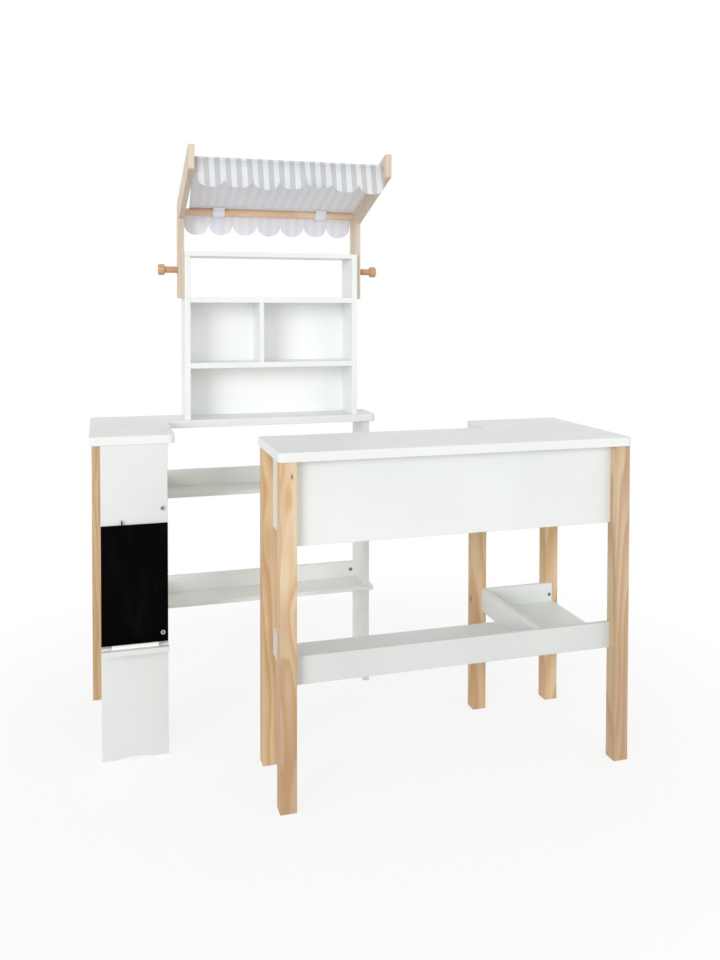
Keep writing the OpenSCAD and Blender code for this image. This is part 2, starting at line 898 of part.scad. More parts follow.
// The cloth follows a line in YZ: up the rear valance, over the rear rod, up the roof, over the front rod
// and down the front valance. Angles count from +Y towards +Z.
roof_angle = quarter_turn - post_lean;
wrap_step = roof_angle * half;
cloth_r = (rod_r + soft_slip) / cos(wrap_step * half) + cloth_t * half;
rear_wrap_shares = [0.5, 1];
front_wrap_shares = [0, 0.33, 0.67, 1];
roof_shares = [0.25, 0.5, 0.75];
valance_shares = [1, 0.5, 0];
columns = scallops * scallop_steps;
rows = len(valance_shares) + len(rear_wrap_shares) + len(roof_shares) + len(front_wrap_shares)
    + len(valance_shares) - 1;

function bow(f) = sqrt(1 - (f + f - 1) * (f + f - 1));
function scallop_share(i) = bow((i % scallop_steps) / scallop_steps);
function drop(i, valance, scallop) = valance - scallop * (1 - scallop_share(i));
function sway(i, s) = valance_sway * s * cos(half_turn * i / scallop_steps);
function on_rod(y, z, a) = [[y + cloth_r * cos(a), z + cloth_r * sin(a)], [cos(a), sin(a)]];
function roof_point(s) = [
    [post_y + (front_rod_y - post_y) * s + (cloth_r - roof_sag * bow(s)) * cos(roof_angle),
        bend_z + (front_rod_z - bend_z) * s + (cloth_r - roof_sag * bow(s)) * sin(roof_angle)],
    [cos(roof_angle), sin(roof_angle)]];

// one column of the cloth: middle line points with their outward directions
function cloth_column(i) = concat(
    [for (s = valance_shares)
        [[post_y + cloth_r + sway(i, s), bend_z - drop(i, rear_valance, rear_scallop) * s], [1, 0]]],
    [for (s = rear_wrap_shares) on_rod(post_y, bend_z, roof_angle * s)],
    [for (s = roof_shares) roof_point(s)],
    [for (s = front_wrap_shares)
        on_rod(front_rod_y, front_rod_z, roof_angle + (half_turn - roof_angle) * s)],
    [for (k = [len(valance_shares) - 2 : -1 : 0])
        [[front_rod_y - cloth_r - sway(i, valance_shares[k]),
            front_rod_z - drop(i, front_valance, front_scallop) * valance_shares[k]], [-1, 0]]]);

function cloth_point(i, q, side) = [
    cloth_x + cloth_w * i / columns,
    q[0][0] + q[1][0] * cloth_t * half * side,
    q[0][1] + q[1][1] * cloth_t * half * side];

module awning_cloth() {
    outer = [for (i = [0 : columns]) for (q = cloth_column(i)) cloth_point(i, q, 1)];
    inner = [for (i = [0 : columns]) for (q = cloth_column(i)) cloth_point(i, q, -1)];
    n = (columns + 1) * rows;
    faces = concat(
        [for (i = [0 : columns - 1]) for (k = [0 : rows - 2]) for (f = [0, 1])
            f == 0 ? [i * rows + k, i * rows + k + 1, (i + 1) * rows + k]
                : [(i + 1) * rows + k, i * rows + k + 1, (i + 1) * rows + k + 1]],
        [for (i = [0 : columns - 1]) for (k = [0 : rows - 2]) for (f = [0, 1])
            f == 0 ? [n + i * rows + k, n + (i + 1) * rows + k, n + i * rows + k + 1]
                : [n + (i + 1) * rows + k, n + (i + 1) * rows + k + 1, n + i * rows + k + 1]],
        [for (i = [0 : columns - 1]) for (k = [0, rows - 1]) for (f = [0, 1])
            (f == 0) == (k == 0) ? (k == 0 ? [i * rows, (i + 1) * rows, n + i * rows]
                    : [i * rows + k, n + i * rows + k, n + (i + 1) * rows + k])
                : (k == 0 ? [(i + 1) * rows, n + (i + 1) * rows, n + i * rows]
                    : [i * rows + k, n + (i + 1) * rows + k, (i + 1) * rows + k])],
        [for (i = [0, columns]) for (k = [0 : rows - 2]) for (f = [0, 1])
            f == 0 ? (i == 0 ? [k, n + k, k + 1] : [i * rows + k, i * rows + k + 1, n + i * rows + k])
                : (i == 0 ? [k + 1, n + k, n + k + 1]
                    : [i * rows + k + 1, n + i * rows + k + 1, n + i * rows + k])]);
    color("lightgrey")
        on_stand()
            polyhedron(concat(outer, inner), faces);
}

// a strap from a seam on the roof, round the front and the underside of the rear rod, to the rear valance
strap_start = 150;
strap_step = 20;
strap_angles = [for (k = [0 : 6]) strap_start + strap_step * k];
function strap_arc(r) = [for (a = strap_angles) [post_y + r * cos(a), bend_z + r * sin(a)]];
strap_in_r = (rod_r + slip) / cos(strap_step * half);
strap_out_r = strap_in_r + strap_t;
cloth_in_r = cloth_r - cloth_t * half - soft_slip;
seam_share = strap_roof_run / (post_y - front_rod_y);
seam_sag = roof_sag * bow(roof_shares[0]) * seam_share / roof_shares[0];
roof_seam_z = bend_z + (cloth_in_r - seam_sag) / cos(post_lean) + strap_roof_run * tan(post_lean);
valance_seam_y = post_y + cloth_in_r - valance_sway * half;
function back(list) = [for (k = [len(list) - 1 : -1 : 0]) list[k]];

module strap_outline() {
    polygon(concat(
        [[post_y - strap_roof_run, roof_seam_z]],
        strap_arc(strap_in_r),
        [[valance_seam_y, bend_z - strap_drop + strap_t]],
        [[valance_seam_y, bend_z - strap_drop]],
        back(strap_arc(strap_out_r)),
        [[post_y - strap_roof_run - strap_t, roof_seam_z]]));
}

module cloth_straps() {
    color("whitesmoke")
        on_stand()
            for (x = [cabinet_left + strap_in - strap_w * half, cab_x1 - strap_in - strap_w * half])
                translate([x, 0, 0])
                    rotate([quarter_turn, 0, quarter_turn])
                        linear_extrude(strap_w)
                            strap_outline();
}

// a bolt along +Z with its head on the XY plane
module bolt(l) {
    difference() {
        translate([0, 0, -bolt_head_h])
            cylinder(d = bolt_head_d, h = bolt_head_h);
        translate([0, 0, -bolt_head_h - over])
            cylinder(d = socket_d, h = socket_depth + over, $fn = 6);
    }
    cylinder(d = bolt_d, h = l);
}

module stand_bolts() {
    inside = nut_in + bolt_past - slip;
    color("silver")
        on_stand() {
            translate([arm_rail_mid, panel_front, upper_bolt_z])
                rotate(along_y)
                    bolt(panel_t + inside);
            translate([arm_rail_mid, panel_front - board_t, lower_bolt_z])
                rotate(along_y)
                    bolt(board_t + panel_t + inside);
            for (z = [lower_bolt_z, upper_bolt_z]) {
                translate([side_x + side_t, rail_mid_y, z])
                    rotate(-along_x)
                        bolt(side_t + inside);
                translate([left_leg_left + bolt_head_h, rail_mid_y, z])
                    rotate(along_x)
                        bolt(leg_w - bolt_head_h + inside);
            }
        }
}

// a barrel nut along Z, crossed by its bolt along X
module barrel_nut() {
    difference() {
        cylinder(d = nut_d, h = rail_t - nut_recess - nut_recess, center = true);
        rotate(along_x)
            cylinder(d = bolt_d + slip + slip, h = nut_d + over + over, center = true);
    }
}

module stand_barrel_nuts() {
    color("silver")
        on_stand()
            for (z = [lower_bolt_z, upper_bolt_z]) {
                for (x = [left_leg_x1 + nut_in, side_x - nut_in])
                    translate([x, rail_mid_y, z])
                        rotate(along_y)
                            barrel_nut();
                translate([arm_rail_mid, panel_back + nut_in, z])
                    rotate([quarter_turn, 0, quarter_turn])
                        barrel_nut();
            }
}

module stand_dowels() {
    color("burlywood")
        on_stand()
            dowels(concat(stand_top_dowels, ledge_dowels, arm_rail_dowels));
}

module cabinet_dowels() {
    color("burlywood")
        on_stand()
            dowels(concat(cabinet_foot_dowels, cabinet_top_dowels, cabinet_shelf_dowels, divider_dowels,
                post_dowels));
}

module counter_leg(spot, list) {
    color("burlywood")
        on_counter()
            bored(concat(counter_top_dowels, list))
                block([spot[0], spot[1], 0], [leg_w, leg_w, under]);
}

module front_left_leg() {
    counter_leg(counter_leg_spots[0],
        concat(front_apron_dowels, left_apron_dowels, front_rail_dowels, left_rail_dowels));
}

module back_left_leg() {
    counter_leg(counter_leg_spots[1], concat(left_apron_dowels, left_rail_dowels));
}

module front_right_leg() {
    counter_leg(counter_leg_spots[2], concat(front_apron_dowels, right_apron_dowels, front_rail_dowels));
}

module arm_left_leg() {
    counter_leg(counter_leg_spots[3], arm_rear_dowel);
}

module arm_right_leg() {
    difference() {
        counter_leg(counter_leg_spots[4], right_apron_dowels);
        on_counter()
            tray_screw_shape(slip);
    }
}

module front_apron() {
    color("white")
        on_counter()
            bored(front_apron_dowels)
                block([leg_in, apron_in, apron_z], [right_leg_x - leg_in, apron_t, apron_h]);
}

module left_apron() {
    color("white")
        on_counter()
            bored(left_apron_dowels)
                block([apron_in, leg_in, apron_z], [apron_t, back_leg_y - leg_in, apron_h]);
}

module right_apron() {
    color("white")
        on_counter()
            bored(right_apron_dowels)
                block([counter_w - leg_in, leg_in, apron_z], [apron_t, arm_leg_y - leg_in, apron_h]);
}

module tray_front_rail() {
    l = right_leg_x - leg_in;
    color("white")
        on_counter()
            bored(concat(front_rail_dowels, arm_front_dowel))
                difference() {
                    block([leg_in, front_rail_y, tray_z], [l, rail_t, rail_h]);
                    block([leg_in - over, leg_in - rabbet, tray_z - over],
                        [l + over + over, rabbet + over, shelf_t + over]);
                }
}

module tray_left_rail() {
    l = back_leg_y - leg_in;
    color("white")
        on_counter()
            bored(left_rail_dowels)
                difference() {
                    block([leg_in - rail_t, leg_in, tray_z], [rail_t, l, rail_h]);
                    block([leg_in - rabbet, leg_in - over, tray_z - over],
                        [rabbet + over, l + over + over, shelf_t + over]);
                }
}

module arm_inner_rail() {
    l = arm_leg_y - leg_in;
    color("white")
        on_counter()
            bored(concat(arm_front_dowel, arm_rear_dowel, arm_corner_dowel))
                difference() {
                    block([arm_rail_in, leg_in, tray_z], [rail_t, l, rail_h]);
                    block([arm_rail_in - over, leg_in - over, tray_z - over],
                        [rabbet + over, tray_rear - leg_in + over + lap_slip, shelf_t + over]);
                    block([arm_rail_end - rabbet, leg_in - over, tray_z - over],
                        [rabbet + over, l + over + over, shelf_t + over]);
                }
}

module arm_back_rail() {
    l = arm_back_end - arm_rail_end;
    color("white")
        on_counter()
            bored(arm_corner_dowel)
                difference() {
                    block([arm_rail_end, arm_back_y, tray_z], [l, rail_t, rail_h]);
                    block([arm_rail_end - over, arm_back_y - over, tray_z - over],
                        [l + over + over, rabbet + over, shelf_t + over]);
                    tray_screw_shape(slip);
                }
}

// the long board of the tray, in the rabbets of three rails, open at the rear
module tray_floor() {
    x0 = leg_in - rabbet;
    color("white")
        on_counter()
            difference() {
                block([x0, leg_in - rabbet, tray_z],
                    [arm_rail_in + rabbet - x0, tray_rear - leg_in + rabbet, shelf_t]);
                block([x0 - over, leg_in - rabbet - over, tray_z - over],
                    [rabbet + over, rabbet + over, shelf_t + over + over]);
                block([x0 - over, back_leg_y, tray_z - over],
                    [rabbet + over, leg_w, shelf_t + over + over]);
            }
}

// the board of the arm's tray, open at the right
module arm_floor() {
    x0 = arm_rail_end - rabbet;
    color("white")
        on_counter()
            difference() {
                block([x0, leg_in - rabbet, tray_z],
                    [arm_floor_x1 - x0, arm_back_y - leg_in + rabbet + rabbet, shelf_t]);
                block([right_leg_x, leg_in - rabbet - over, tray_z - over],
                    [leg_w, rabbet + over, shelf_t + over + over]);
                block([arm_back_end, arm_back_y, tray_z - over],
                    [leg_w, rabbet + over, shelf_t + over + over]);
            }
}

// the screw through the arm's back rail into its right leg
module tray_screw_shape(room) {
    translate([arm_back_end - tray_screw_in, arm_back_y - room, tray_z + rail_h * half])
        rotate(along_y) {
            cylinder(d1 = screw_head_d + room + room, d2 = screw_d + room + room, h = screw_head_h + room);
            cylinder(d = screw_d + room + room, h = screw_l + room + room);
        }
}

module tray_screw() {
    color("silver")
        on_counter()
            tray_screw_shape(0);
}

module counter_dowels() {
    color("burlywood")
        on_counter()
            dowels(concat(counter_top_dowels, front_apron_dowels, left_apron_dowels, right_apron_dowels,
                front_rail_dowels, left_rail_dowels, arm_front_dowel, arm_rear_dowel, arm_corner_dowel));
}

stand_worktop();
chalkboard_panel();
chalkboard();
chalk_ledge();
chalk_stick();
board_hook();
stand_left_leg();
stand_right_leg();
upper_shelf_board();
lower_shelf_board();
upper_shelf_rail();
lower_shelf_rail();
upper_arm_rail();
lower_arm_rail();
upper_arm_board();
lower_arm_board();
cabinet_left_side();
cabinet_right_side();
cabinet_top();
cabinet_upper_shelf();
cabinet_lower_shelf();
cabinet_divider();
cabinet_back_panel();
left_awning_post();
right_awning_post();
left_hanging_peg();
right_hanging_peg();
front_awning_rod();
rear_awning_rod();
awning_cloth();
cloth_straps();
stand_bolts();
stand_barrel_nuts();
stand_dowels();
cabinet_dowels();
counter_worktop();
front_left_leg();
back_left_leg();
front_right_leg();
arm_left_leg();
arm_right_leg();
front_apron();
left_apron();
right_apron();
tray_front_rail();
tray_left_rail();
arm_inner_rail();
arm_back_rail();
tray_floor();
arm_floor();
tray_screw();
counter_dowels();
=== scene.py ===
import math

import bpy
import numpy as np
from mathutils import Matrix, Vector


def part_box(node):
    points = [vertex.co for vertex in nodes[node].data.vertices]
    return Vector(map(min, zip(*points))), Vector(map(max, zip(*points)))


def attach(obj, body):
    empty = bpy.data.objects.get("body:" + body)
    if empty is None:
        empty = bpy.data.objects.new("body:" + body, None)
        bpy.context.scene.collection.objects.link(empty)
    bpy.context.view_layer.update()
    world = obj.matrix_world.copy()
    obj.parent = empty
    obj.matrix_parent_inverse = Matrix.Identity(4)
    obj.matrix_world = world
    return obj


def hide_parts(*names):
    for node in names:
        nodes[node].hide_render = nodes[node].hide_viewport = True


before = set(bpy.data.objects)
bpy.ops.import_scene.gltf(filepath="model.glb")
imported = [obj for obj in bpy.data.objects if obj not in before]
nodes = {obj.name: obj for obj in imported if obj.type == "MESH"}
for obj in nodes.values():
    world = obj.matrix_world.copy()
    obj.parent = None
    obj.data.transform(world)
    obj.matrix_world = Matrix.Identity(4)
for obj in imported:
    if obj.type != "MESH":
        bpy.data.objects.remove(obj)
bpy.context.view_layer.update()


def srgb(code):
    """A colour written as on screen, as linear values."""
    parts = [int(code[i:i + 2], 16) / 255 for i in (0, 2, 4)]
    return tuple(p / 12.92 if p <= 0.04045 else ((p + 0.055) / 1.055) ** 2.4 for p in parts) + (1,)


class Paint:
    """A material, or the world, under construction as nodes."""

    # Places of a Mix node's colour sockets
    COLOUR_A, COLOUR_B, COLOUR_OUT = 6, 7, 2

    def __init__(self, name, world=False):
        self.made = (bpy.data.worlds if world else bpy.data.materials).new(name)
        self.made.use_nodes = True
        self.tree = self.made.node_tree
        self.tree.nodes.clear()
        self.output = self.tree.nodes.new("ShaderNodeOutputWorld" if world else "ShaderNodeOutputMaterial")

    def node(self, kind, inputs, **props):
        made = self.tree.nodes.new(kind)
        for key, value in props.items():
            setattr(made, key, value)
        for key, value in inputs.items():
            if isinstance(value, bpy.types.NodeSocket):
                self.tree.links.new(value, made.inputs[key])
            else:
                made.inputs[key].default_value = value
        return made

    def math(self, operation, a, b=None, clamp=False):
        inputs = {0: a} if b is None else {0: a, 1: b}
        return self.node("ShaderNodeMath", inputs, operation=operation, use_clamp=clamp).outputs[0]

    def vector(self, operation, a, b):
        return self.node("ShaderNodeVectorMath", {0: a, 1: b}, operation=operation).outputs[0]

    def length(self, a):
        return self.node("ShaderNodeVectorMath", {0: a}, operation="LENGTH").outputs["Value"]

    def mix(self, share, a, b):
        inputs = {0: share, self.COLOUR_A: a, self.COLOUR_B: b}
        return self.node("ShaderNodeMix", inputs, data_type="RGBA").outputs[self.COLOUR_OUT]

    def remap(self, value, start, end, to=(0.0, 1.0)):
        """A smooth step from the first of to, where the value is start, to the second, where it is end."""
        inputs = {0: value, 1: start, 2: end, 3: to[0], 4: to[1]}
        return self.node("ShaderNodeMapRange", inputs, interpolation_type="SMOOTHSTEP").outputs[0]

    def noise(self, vector, scale=1.0, detail=2.0, roughness=0.5, output="Fac"):
        inputs = {"Vector": vector, "Scale": scale, "Detail": detail, "Roughness": roughness}
        return self.node("ShaderNodeTexNoise", inputs).outputs[output]

    def place(self, kind="Object"):
        return self.node("ShaderNodeTexCoord", {}).outputs[kind]

    def stretch(self, vector, scale, shift=(0, 0, 0)):
        inputs = {"Vector": vector, "Location": shift, "Scale": scale}
        return self.node("ShaderNodeMapping", inputs).outputs[0]

    def bump(self, height, strength, distance, normal=None):
        inputs = {"Height": height, "Strength": strength, "Distance": distance}
        if normal is not None:
            inputs["Normal"] = normal
        return self.node("ShaderNodeBump", inputs).outputs[0]

    def backdrop_rays(self):
        """1 for the rays that see the white background: camera, glossy and transmission rays."""
        path = self.node("ShaderNodeLightPath", {}).outputs
        seen = self.math("ADD", path["Is Camera Ray"], path["Is Glossy Ray"])
        return self.math("ADD", seen, path["Is Transmission Ray"], clamp=True)

    def close(self, shader):
        self.tree.links.new(shader.outputs[0], self.output.inputs[0])
        return self.made

    def finish(self, inputs):
        return self.close(self.node("ShaderNodeBsdfPrincipled", inputs))


def handled(roughness):
    """The roughness of a lacquer from its least to its most handled places."""
    return roughness - 0.05, roughness + 0.08


def painted_board(name, first, second):
    """White satin lacquer on board: faint tone drift, orange peel, a little handling wear in the gloss."""
    p = Paint(name)
    at = p.place()
    drift = p.noise(at, scale=5.0, detail=3.0)
    speck = p.noise(at, scale=420.0)
    colour = p.mix(p.remap(drift, 0.3, 0.7), srgb(first), srgb(second))
    colour = p.mix(p.remap(speck, 0.66, 0.8, to=(0.0, 0.05)), colour, srgb("D2D2CC"))
    smear = p.noise(p.stretch(at, (14, 14, 40)), detail=3.0)
    peel = p.noise(at, scale=900.0, detail=1.0)
    wave = p.noise(at, scale=60.0, detail=1.0)
    waves = p.bump(wave, strength=0.1, distance=0.0006)
    normal = p.bump(peel, strength=0.12, distance=0.00012, normal=waves)
    gloss = p.remap(smear, 0.3, 0.7, to=handled(0.42))
    return p.finish({"Base Color": colour, "Roughness": gloss, "Normal": normal, "Specular IOR Level": 0.4})


def drawn_out(axis, across, along):
    """Texture scales that differ along the grain's axis."""
    scales = [across] * 3
    scales["XYZ".index(axis)] = along
    return scales


def grain(p, axis, shift, heart, spacing, warp):
    """Growth rings round a heart line beside the piece, with the grain along one axis."""
    at = p.stretch(p.place(), (1, 1, 1), shift)
    slow, quick = drawn_out(axis, 22.0, 4.0), drawn_out(axis, 70.0, 9.0)
    bent = at
    for scales, reach in ((slow, warp), (quick, warp * 0.12)):
        drift = p.noise(p.stretch(at, scales), detail=1.0, output="Color")
        drift = p.vector("SUBTRACT", drift, (0.5, 0.5, 0.5))
        drift = p.node("ShaderNodeVectorMath", {0: drift, "Scale": reach}, operation="SCALE").outputs[0]
        bent = p.vector("ADD", bent, drift)
    radius = p.length(p.stretch(bent, drawn_out(axis, 1.0, 0.035), heart))
    ring = p.math("FRACT", p.math("DIVIDE", radius, spacing))
    late = p.math("MULTIPLY", p.remap(ring, 0.0, 0.85), p.remap(ring, 1.0, 0.8))
    fibre = p.noise(p.stretch(at, drawn_out(axis, 1000.0, 16.0)), detail=3.0, roughness=0.6)
    tone = p.noise(p.stretch(at, drawn_out(axis, 30.0, 2.4)))
    return late, fibre, tone


def wood(name, axis, shift, heart, spacing, tones, contrast, warp=0.03, knots=(), foot_tone_and_shade=0.0):
    """Clear-lacquered softwood: soft rings, fibres, slow tone change, small knots and a foot darker towards
    the floor, partly the wood's own tone and partly painted shade.
    """
    p = Paint(name)
    light, dark, deep = (srgb(tone) for tone in tones)
    late, fibre, tone = grain(p, axis, shift, heart, spacing, warp)
    colour = p.mix(p.math("MULTIPLY", late, contrast), light, dark)
    colour = p.mix(p.remap(tone, 0.38, 0.68, to=(0.0, 0.55)), colour, deep)
    colour = p.mix(p.remap(fibre, 0.5, 0.8, to=(0.0, 0.2)), colour, deep)
    height = p.math("ADD", p.math("MULTIPLY", late, 0.5), fibre)
    at = p.place()
    # Darker towards the floor: partly the wood's own tone, partly painted shade where the light falls off.
    if foot_tone_and_shade:
        level = p.node("ShaderNodeSeparateXYZ", {0: at}).outputs["Z"]
        level = p.math("ADD", level, p.remap(tone, 0.3, 0.7, to=(-0.05, 0.05)))
        colour = p.mix(p.remap(level, 0.45, 0.12, to=(0.0, foot_tone_and_shade)), colour, srgb("A97F5C"))
    for middle, size, strength in knots:
        far = p.length(p.vector("DIVIDE", p.vector("SUBTRACT", at, middle), size))
        far = p.math("ADD", far, p.math("MULTIPLY", p.math("SUBTRACT", fibre, 0.5), 0.5))
        colour = p.mix(p.remap(far, 2.6, 0.9, to=(0.0, 0.5 * strength)), colour, srgb("A9773F"))
        colour = p.mix(p.remap(far, 1.1, 0.5, to=(0.0, strength)), colour, srgb("4A3322"))
    normal = p.bump(height, strength=0.25, distance=0.00012)
    gloss = p.remap(fibre, 0.3, 0.7, to=handled(0.5))
    return p.finish({"Base Color": colour, "Roughness": gloss, "Normal": normal, "Specular IOR Level": 0.35})


def writing_board():
    """Matt black writing paint with the ghost of wiped chalk."""
    p = Paint("writing_board_black")
    at = p.place()
    wipe = p.noise(p.stretch(at, (28, 28, 9)), detail=4.0, roughness=0.6)
    tooth = p.noise(at, scale=1300.0)
    colour = p.mix(p.remap(wipe, 0.5, 0.85, to=(0.0, 0.03)), srgb("030303"), srgb("6A6A68"))
    normal = p.bump(tooth, strength=0.3, distance=0.0001)
    gloss = p.remap(wipe, 0.3, 0.8, to=(0.72, 0.84))
    return p.finish({"Base Color": colour, "Roughness": gloss, "Normal": normal, "Specular IOR Level": 0.03})


def chalk():
    """Dry pressed chalk: chalky pores and rubbed ends."""
    p = Paint("chalk_stick_white")
    at = p.place()
    pores = p.noise(at, scale=1100.0, detail=4.0, roughness=0.7)
    rub = p.noise(at, scale=120.0)
    colour = p.mix(p.remap(pores, 0.55, 0.8, to=(0.0, 0.4)), srgb("FAFAF8"), srgb("DAD9D4"))
    colour = p.mix(p.remap(rub, 0.55, 0.8, to=(0.0, 0.2)), colour, srgb("C9C9C4"))
    normal = p.bump(pores, strength=0.4, distance=0.0002)
    return p.finish({"Base Color": colour, "Roughness": 0.95, "Normal": normal})


# Radii of the painted shade in the bolt sockets.
SOCKET_SHADE_R, SOCKET_SHADE_SOFT_R = 0.0015, 0.0019


def plated_steel(name, tones, roughness, shaded_sockets=()):
    """Zinc-plated fastener: spangle, fine scratches and painted shade in the sockets, each socket an axis
    mask and a middle.
    """
    p = Paint(name)
    at = p.place()
    spangle = p.noise(at, scale=260.0, detail=3.0)
    scratch = p.noise(p.stretch(at, (3000, 400, 3000)))
    colour = p.mix(p.remap(spangle, 0.35, 0.7), srgb(tones[0]), srgb(tones[1]))
    # Painted shade: each socket's recess is darkened to 3C3D40.
    for mask, middle in shaded_sockets:
        off = p.length(p.vector("MULTIPLY", p.vector("SUBTRACT", at, middle), mask))
        colour = p.mix(p.remap(off, SOCKET_SHADE_SOFT_R, SOCKET_SHADE_R), colour, srgb("3C3D40"))
    gloss = p.remap(scratch, 0.3, 0.7, to=(roughness - 0.08, roughness + 0.12))
    normal = p.bump(scratch, strength=0.15, distance=0.00005)
    return p.finish({"Base Color": colour, "Roughness": gloss, "Metallic": 1.0, "Normal": normal})


def black_metal():
    """Black-finished pin."""
    p = Paint("hook_pin_black")
    pit = p.noise(p.place(), scale=700.0, detail=3.0)
    colour = p.mix(p.remap(pit, 0.45, 0.75), srgb("0D0D0E"), srgb("252527"))
    normal = p.bump(pit, strength=0.2, distance=0.00008)
    return p.finish({"Base Color": colour, "Roughness": 0.45, "Normal": normal, "Specular IOR Level": 0.15})


THREAD_PITCH = 0.0009
STRIPE_W = 0.0098


def weave(p, across, along):
    """Height of a plain weave: warp and weft threads that pass over each other by turns."""
    turn = math.pi / THREAD_PITCH
    over = [p.math("SINE", p.math("MULTIPLY", value, turn)) for value in (across, along)]
    warp, weft = (p.math("ABSOLUTE", value) for value in over)
    sign = p.math("GREATER_THAN", p.math("MULTIPLY", over[0], over[1]), 0.0)
    return p.node("ShaderNodeMix", {0: sign, 2: warp, 3: weft}).outputs[0]


def striped_cloth(name, white, grey, share, shade, seams_and_shade_lines):
    """Woven cotton with stripes along the cloth; share is how much of the stripe shows on this side.

    A seam, or a seam with painted shadow along it, is a place along the cloth, half a width, a colour and a
    strength.
    """
    p = Paint(name)
    at = p.place("UV")
    across, along = p.node("ShaderNodeSeparateXYZ", {0: at}).outputs[:2]
    height = weave(p, across, along)
    slub = p.noise(p.stretch(at, (2600, 60, 1)))
    drift = p.noise(p.stretch(at, (30, 18, 1)), detail=3.0)
    wobble = p.math("MULTIPLY", p.math("SUBTRACT", slub, 0.5), 0.0006)
    beat = p.math("FRACT", p.math("DIVIDE", p.math("ADD", across, wobble), STRIPE_W * 2))
    near = p.math("ABSOLUTE", p.math("SUBTRACT", beat, 0.5))
    band = p.remap(near, 0.238, 0.262)
    colour = p.mix(p.math("MULTIPLY", band, share), srgb(white), srgb(grey))
    # Painted shade in the low points of the weave, in the shade colour; the next line uses the same colour
    # for slow uneven tone across the cloth.
    colour = p.mix(p.remap(height, 0.6, 0.1, to=(0.0, 0.22)), colour, srgb(shade))
    colour = p.mix(p.remap(drift, 0.4, 0.8, to=(0.0, 0.25)), colour, srgb(shade))
    for middle, half, tone, strength in seams_and_shade_lines:
        off = p.math("ABSOLUTE", p.math("SUBTRACT", along, middle))
        colour = p.mix(p.remap(off, half * 1.25, half * 0.75, to=(0.0, strength)), colour, srgb(tone))
    slubs = p.bump(slub, strength=0.15, distance=0.0001)
    normal = p.bump(height, strength=0.3, distance=0.00018, normal=slubs)
    return p.finish({
        "Base Color": colour, "Roughness": 0.88, "Normal": normal, "Specular IOR Level": 0.2,
        "Sheen Weight": 0.15, "Sheen Roughness": 0.5, "Subsurface Weight": 0.6, "Subsurface Scale": 0.004,
        "Subsurface Radius": (1.0, 1.0, 1.0),
    })


def tape():
    """Hook-and-loop tape with brushed loops."""
    p = Paint("strap_tape_white")
    at = p.place()
    loops = p.noise(at, scale=1500.0, detail=3.0, roughness=0.7)
    nap = p.noise(at, scale=160.0, detail=3.0)
    colour = p.mix(p.remap(loops, 0.4, 0.75, to=(0.0, 0.5)), srgb("FCFCFF"), srgb("F2F4FF"))
    colour = p.mix(p.remap(nap, 0.5, 0.8, to=(0.0, 0.3)), colour, srgb("EAECF7"))
    normal = p.bump(loops, strength=0.5, distance=0.0003)
    return p.finish({
        "Base Color": colour, "Roughness": 0.9, "Normal": normal, "Specular IOR Level": 0.2,
        "Sheen Weight": 0.2, "Sheen Roughness": 0.4,
    })


def dress(name, material):
    nodes[name].data.materials[0] = material


# White boards: a material's name, its two tones and the pieces that have it. All are one white lacquer;
# apart from white_lacquer the tones are lit and shaded copies that paint in light and shade.
white_boards = (
    ("white_lacquer", "E8EBEA", "EDF0EF", (
        "stand_right_leg", "upper_arm_rail", "lower_arm_rail", "upper_arm_board", "lower_arm_board",
        "front_apron", "left_apron", "right_apron", "arm_inner_rail", "arm_back_rail", "tray_floor",
        "arm_floor")),
    # Darker: painted shade on the panel.
    ("panel_white", "E3E6E5", "E8EBEA", ("chalkboard_panel",)),
    # Darker: painted shade on the tray's side rail and the chalk ledge.
    ("tray_white_painted_shade", "DFE2E1", "E4E7E5", ("tray_left_rail", "chalk_ledge")),
    # Darker still: painted shade on the tray's front rail, low down where the light falls off.
    ("rail_white_painted_shade", "D8DBDA", "DDE0DE", ("tray_front_rail",)),
    ("worktop_white", "EDEFEE", "F1F3F2", ("stand_worktop", "counter_worktop")),
    # Lighter: painted light in the cabinet.
    ("cabinet_white_painted_light", "F0F3F1", "F4F6F5", (
        "cabinet_left_side", "cabinet_right_side", "cabinet_top", "cabinet_upper_shelf",
        "cabinet_lower_shelf", "cabinet_divider")),
    # Warmer: painted warm shade on the upper shelf under the worktop.
    ("upper_shelf_white_painted_shade", "E9EAE5", "EEEEEA", ("upper_shelf_board", "upper_shelf_rail")),
    # Lighter: painted light on the lower shelf.
    ("lower_shelf_white_painted_light", "EEF0EC", "F2F3F0", ("lower_shelf_board", "lower_shelf_rail")),
    # Near white: painted light on the cabinet's back panel.
    ("back_panel_white_painted_light", "FBFDFC", "FEFFFE", ("cabinet_back_panel",)),
)
for title, first, second, names in white_boards:
    board = painted_board(title, first, second)
    for name in names:
        dress(name, board)

# Wood tones: light, late wood and deep.
PINE = ("E8CEA9", "D0A677", "C59A75")
FRONT_PINE = ("EFDABB", "D5AC7C", "CCA279")
LEFT_PINE = ("E4C7A0", "CB9E6E", "C0926C")
RIGHT_PINE = ("D8C0A1", "C19C78", "B79274")
PALE = ("E2D4C2", "D5C3AD", "CCB59D")
TURNED = ("FADCC0", "ECC69D", "DFB388")
PEG = ("DAB48F", "CBA078", "BC8E68")
PLAIN = ("E6D0AC", "D8BB8E", "CBAA7C")
RING, CLOSE_RING, POST_RING, TURNED_RING, DOWEL_RING = 0.0065, 0.005, 0.007, 0.0045, 0.003

